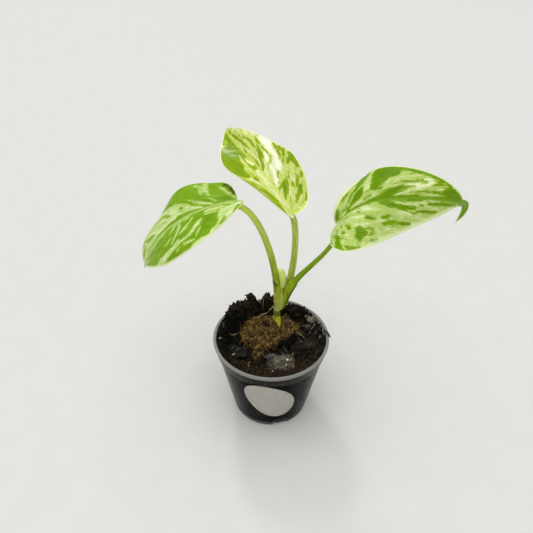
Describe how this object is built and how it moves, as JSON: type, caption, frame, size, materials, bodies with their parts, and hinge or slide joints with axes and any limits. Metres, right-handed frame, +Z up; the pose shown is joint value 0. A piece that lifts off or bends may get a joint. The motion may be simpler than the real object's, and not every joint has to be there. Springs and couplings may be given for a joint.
{
  "type": "potted variegated monstera",
  "caption": "Young monstera with long-stalked heart-shaped leaves, green splashed with cream, standing in a small clear tapered nursery pot of dark bark mix.",
  "frame": {"origin": "centre of the pot's underside, on the plane it stands on", "axes": "+Z up; -Y is the front, with the label; +X is right as seen from the front"},
  "size_m": [0.1437, 0.0792, 0.1418],
  "materials": {
    "clear_plastic": "clear moulded polypropylene, misted inside, darkened by the mix behind it",
    "label_paper": "matt white, blank",
    "potting_mix": "damp, crumbly, near black",
    "coir_plug": "brown matted coir fibre",
    "pine_bark": "weathered, dry, flaky",
    "stalk": "smooth satin yellow green",
    "new_leaf": "smooth satin pale green",
    "leaf_blade": "satin green with cream marbling"
  },
  "bodies": {
    "root": {"bark_chip_front": "pine_bark", "bark_chip_left": "pine_bark", "bark_chip_long": "pine_bark", "bark_chip_right": "pine_bark", "label": "label_paper", "leaf_left": "leaf_blade", "leaf_middle": "leaf_blade", "leaf_right": "leaf_blade", "new_leaf": "new_leaf", "petiole_left": "stalk", "petiole_middle": "stalk", "petiole_right": "stalk", "pot": "clear_plastic", "potting_mix": "potting_mix", "root_plug": "coir_plug", "stem": "stalk"}
  },
  "joints": []
}
